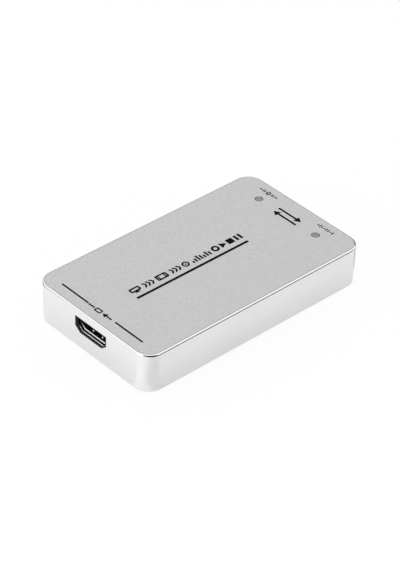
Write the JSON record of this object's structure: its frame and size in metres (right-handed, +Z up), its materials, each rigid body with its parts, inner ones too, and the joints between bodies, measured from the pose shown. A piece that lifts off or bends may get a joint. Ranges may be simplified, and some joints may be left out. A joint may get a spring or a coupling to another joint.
{
  "type": "video capture box",
  "caption": "Flat aluminium box with rounded corners that takes digital video in at one end and sends it out as data at the other, with indicator lights on top.",
  "frame": {"origin": "on the surface that the feet stand on, under the middle of the box", "axes": "+X along the box towards the data socket's end, with the video socket at -X; +Y across; +Z up"},
  "size_m": [0.1, 0.058, 0.0163],
  "materials": {
    "casing": "fine sand-blasted roof, satin sides, polished upper edge",
    "plate": "satin",
    "steel": "plain zinc",
    "feet": "matt",
    "liner": "fine ribbed matt",
    "light": "smoked, cloudy",
    "board": "solder mask, satin",
    "film": "smooth",
    "socket_metal": "nickel plated",
    "black_insulator": "smooth",
    "blue_insulator": "smooth",
    "contact": "gold plated",
    "foam": "conductive cloth over foam",
    "lamp": "clear resin in a white cup",
    "chip": "moulded resin",
    "pad": "soft",
    "cooler": "black anodised",
    "can": "bright",
    "core": "pressed ferrite",
    "ceramic": "fired ceramic with tinned ends"
  },
  "bodies": {
    "root": {"top_shell": "casing", "base_plate": "plate", "base_screws": "steel", "rubber_feet": "feet", "video_port_liner": "liner", "data_port_liner": "liner", "power_light_pipe": "light", "activity_light_pipe": "light", "main_board": "board", "board_screws": "steel", "insulating_film": "film", "video_socket_shell": "socket_metal", "video_socket_insulator": "black_insulator", "video_socket_contacts": "contact", "data_socket_shell": "socket_metal", "data_socket_insulator": "blue_insulator", "data_socket_contacts": "contact", "video_ground_foam": "foam", "data_ground_foam": "foam", "power_lamp": "lamp", "activity_lamp": "lamp", "receiver_chip": "chip", "processor_chip": "chip", "controller_chip": "chip", "memory_chips": "chip", "flash_chip": "chip", "setup_memory_chip": "chip", "cooler_pad": "pad", "cooler": "cooler", "video_crystal": "can", "data_crystal": "can", "coils": "core", "can_capacitors": "can", "regulators": "chip", "supply_fuse": "ceramic", "line_filters": "core", "surge_guards": "chip", "capacitors": "ceramic", "resistors": "chip"}
  },
  "joints": []
}
